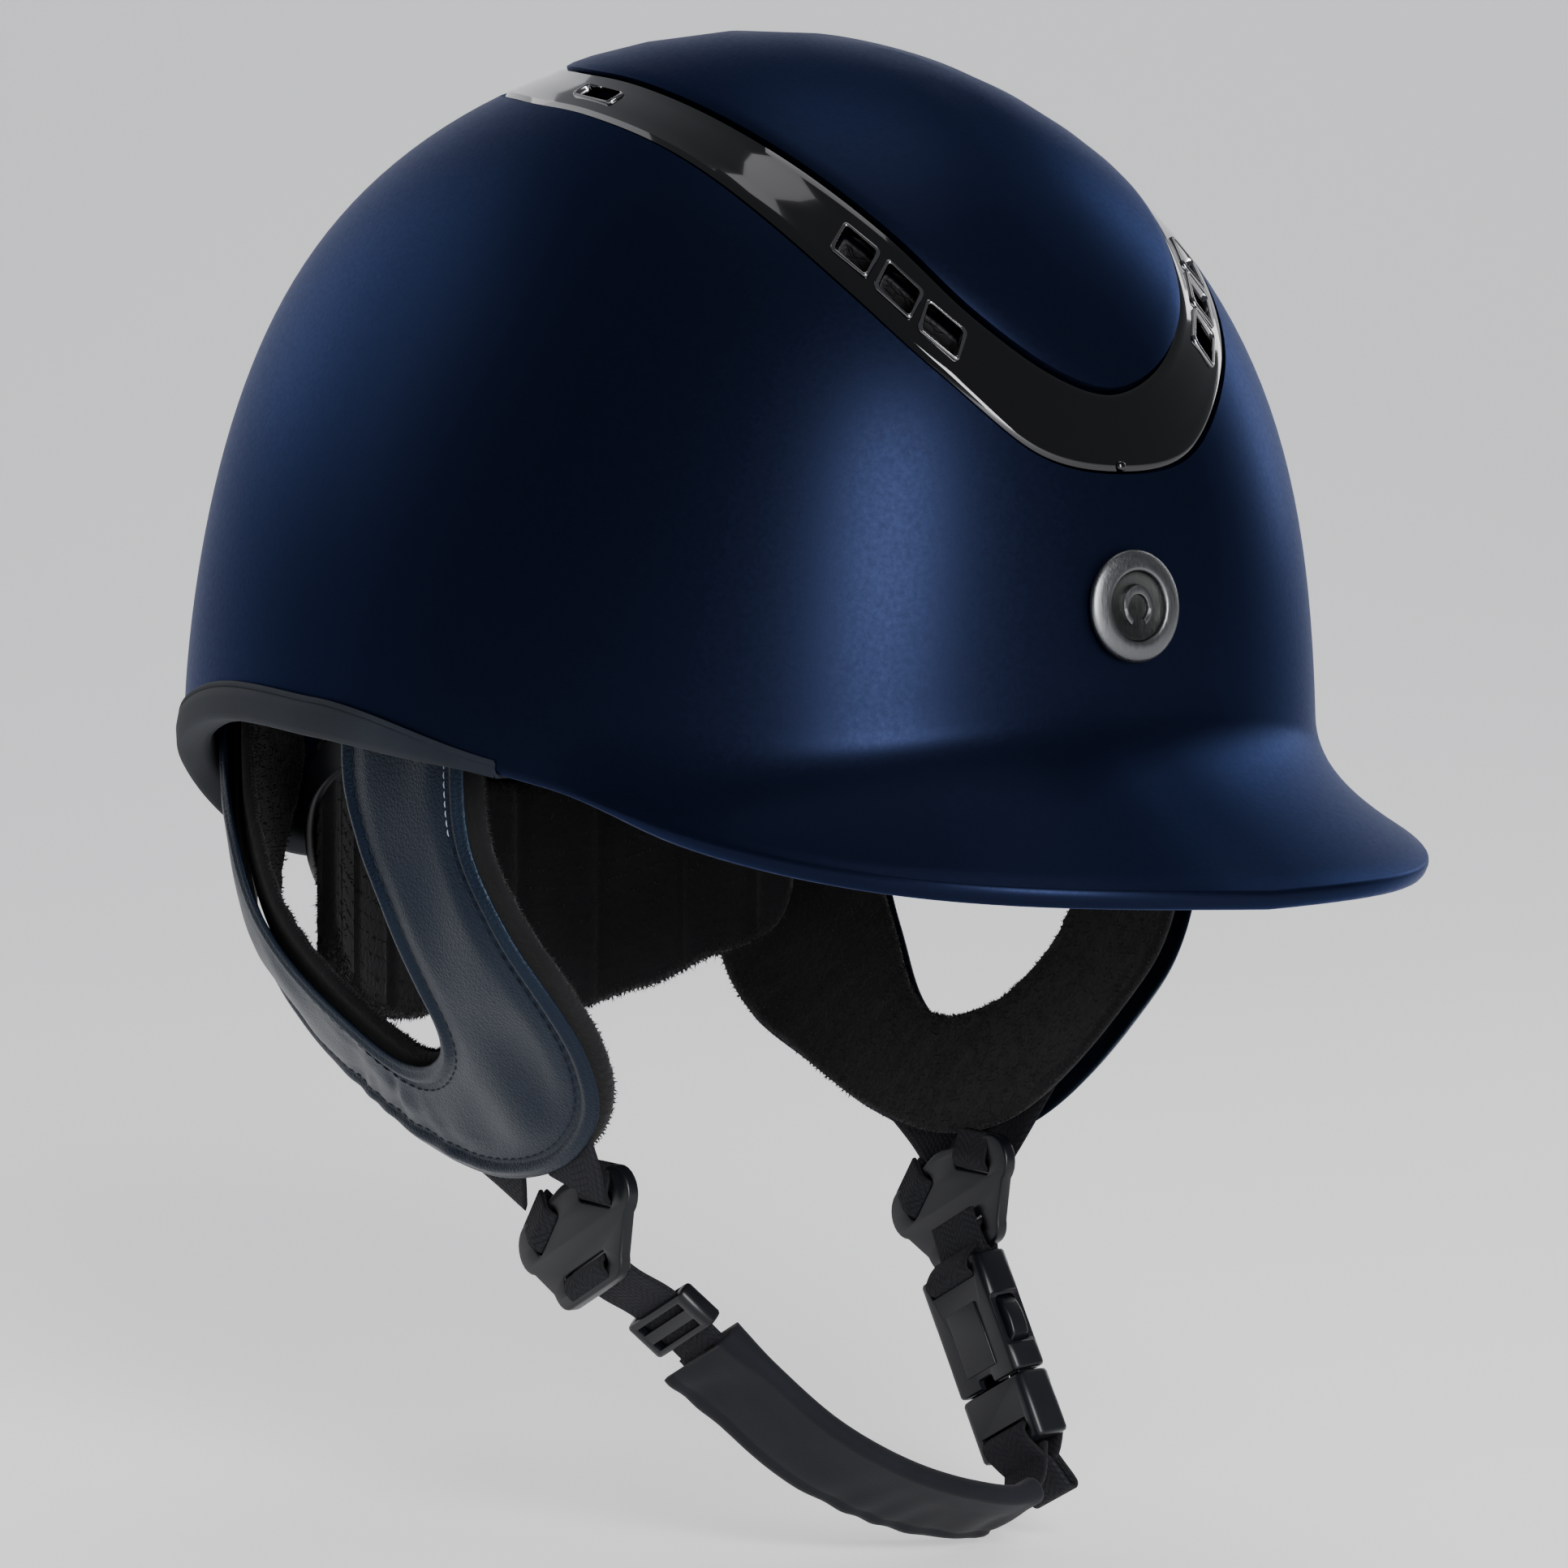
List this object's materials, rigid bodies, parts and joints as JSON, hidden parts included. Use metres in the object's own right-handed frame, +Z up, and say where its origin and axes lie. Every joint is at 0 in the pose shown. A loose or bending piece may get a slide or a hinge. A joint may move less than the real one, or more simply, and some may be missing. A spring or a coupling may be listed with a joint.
{
  "type": "equestrian riding helmet",
  "caption": "Riding helmet with a moulded peak, vented crown frame, padded liner, dial-fitted nape cradle and a buckled chin harness.",
  "frame": {"origin": "centre of the head opening at brow height", "axes": "+Z up through the crown, -Y out of the peak at the front, -X to the wearer's right"},
  "size_m": [0.2242, 0.3213, 0.3341],
  "materials": {
    "shell": "matte metallic navy lacquer",
    "trim": "gloss black chrome",
    "badge": "brushed gunmetal",
    "edging": "matte slate",
    "leather": "soft navy faux leather",
    "textile": "black brushed knit",
    "foam": "black bead foam",
    "webbing": "black woven webbing",
    "plastic": "black satin moulding"
  },
  "bodies": {
    "helmet": {"outer_shell": "shell", "crown_panel": "shell", "vent_trim": "trim", "badge_bezel": "badge", "badge_disc": "badge", "rim_edging": "edging", "peak_lining": "textile", "impact_liner": "foam", "comfort_liner": "textile", "brow_pad": "textile", "crown_pad": "textile", "side_pad_left": "textile", "side_pad_right": "textile", "arm_guide_left": "plastic", "arm_guide_right": "plastic", "harness_cover_left": "leather", "harness_cover_right": "leather", "harness_lining_left": "textile", "harness_lining_right": "textile", "webbing_front_left": "webbing", "webbing_front_right": "webbing", "webbing_rear_left": "webbing", "webbing_rear_right": "webbing", "strap_anchor_front_left": "plastic", "strap_anchor_front_right": "plastic", "strap_anchor_rear_left": "plastic", "strap_anchor_rear_right": "plastic", "divider_left": "plastic", "divider_right": "plastic", "lower_webbing_left": "webbing", "buckle_socket": "plastic"},
    "chin_strap": {"chin_webbing": "webbing", "chin_cover": "leather", "strap_adjuster": "plastic", "strap_end": "webbing", "buckle_base": "plastic"},
    "prong_rear": {"buckle_prong_rear": "plastic"},
    "prong_front": {"buckle_prong_front": "plastic"},
    "cradle": {"nape_cradle": "plastic", "nape_pad": "textile", "dial_housing": "plastic"},
    "dial": {"fit_dial": "plastic"}
  },
  "joints": [
    {"name": "cradle_slide", "type": "slide", "parent": "helmet", "child": "cradle", "axis": [0, -1, 0], "range_m": [0, 0.008]},
    {"name": "fit_dial_turn", "type": "hinge", "parent": "cradle", "child": "dial", "pos_m": [0, 0.1168, -0.036], "axis": [0, 1, 0], "range_deg": [0, 360]},
    {"name": "chin_strap_swing", "type": "hinge", "parent": "helmet", "child": "chin_strap", "pos_m": [-0.0487, -0.01812, -0.10323], "axis": [0, 0.8942, -0.4478], "range_deg": [0, 50], "deforming": ["buckle_prong_rear", "buckle_prong_front"]},
    {"name": "prong_rear_squeeze", "type": "hinge", "parent": "chin_strap", "child": "prong_rear", "pos_m": [0.04947, -0.02732, -0.13768], "axis": [0.9976, 0.0312, 0.0624], "range_deg": [0, 6], "stiffness_Nm_per_rad": 0.03},
    {"name": "prong_front_squeeze", "type": "hinge", "parent": "chin_strap", "child": "prong_front", "pos_m": [0.04947, -0.0402, -0.13124], "axis": [-0.9976, -0.0312, -0.0624], "range_deg": [0, 6], "stiffness_Nm_per_rad": 0.03}
  ],
  "couplings": [
    {"joint": "cradle_slide", "follows": "fit_dial_turn", "m_per_rad": 0.001273}
  ]
}
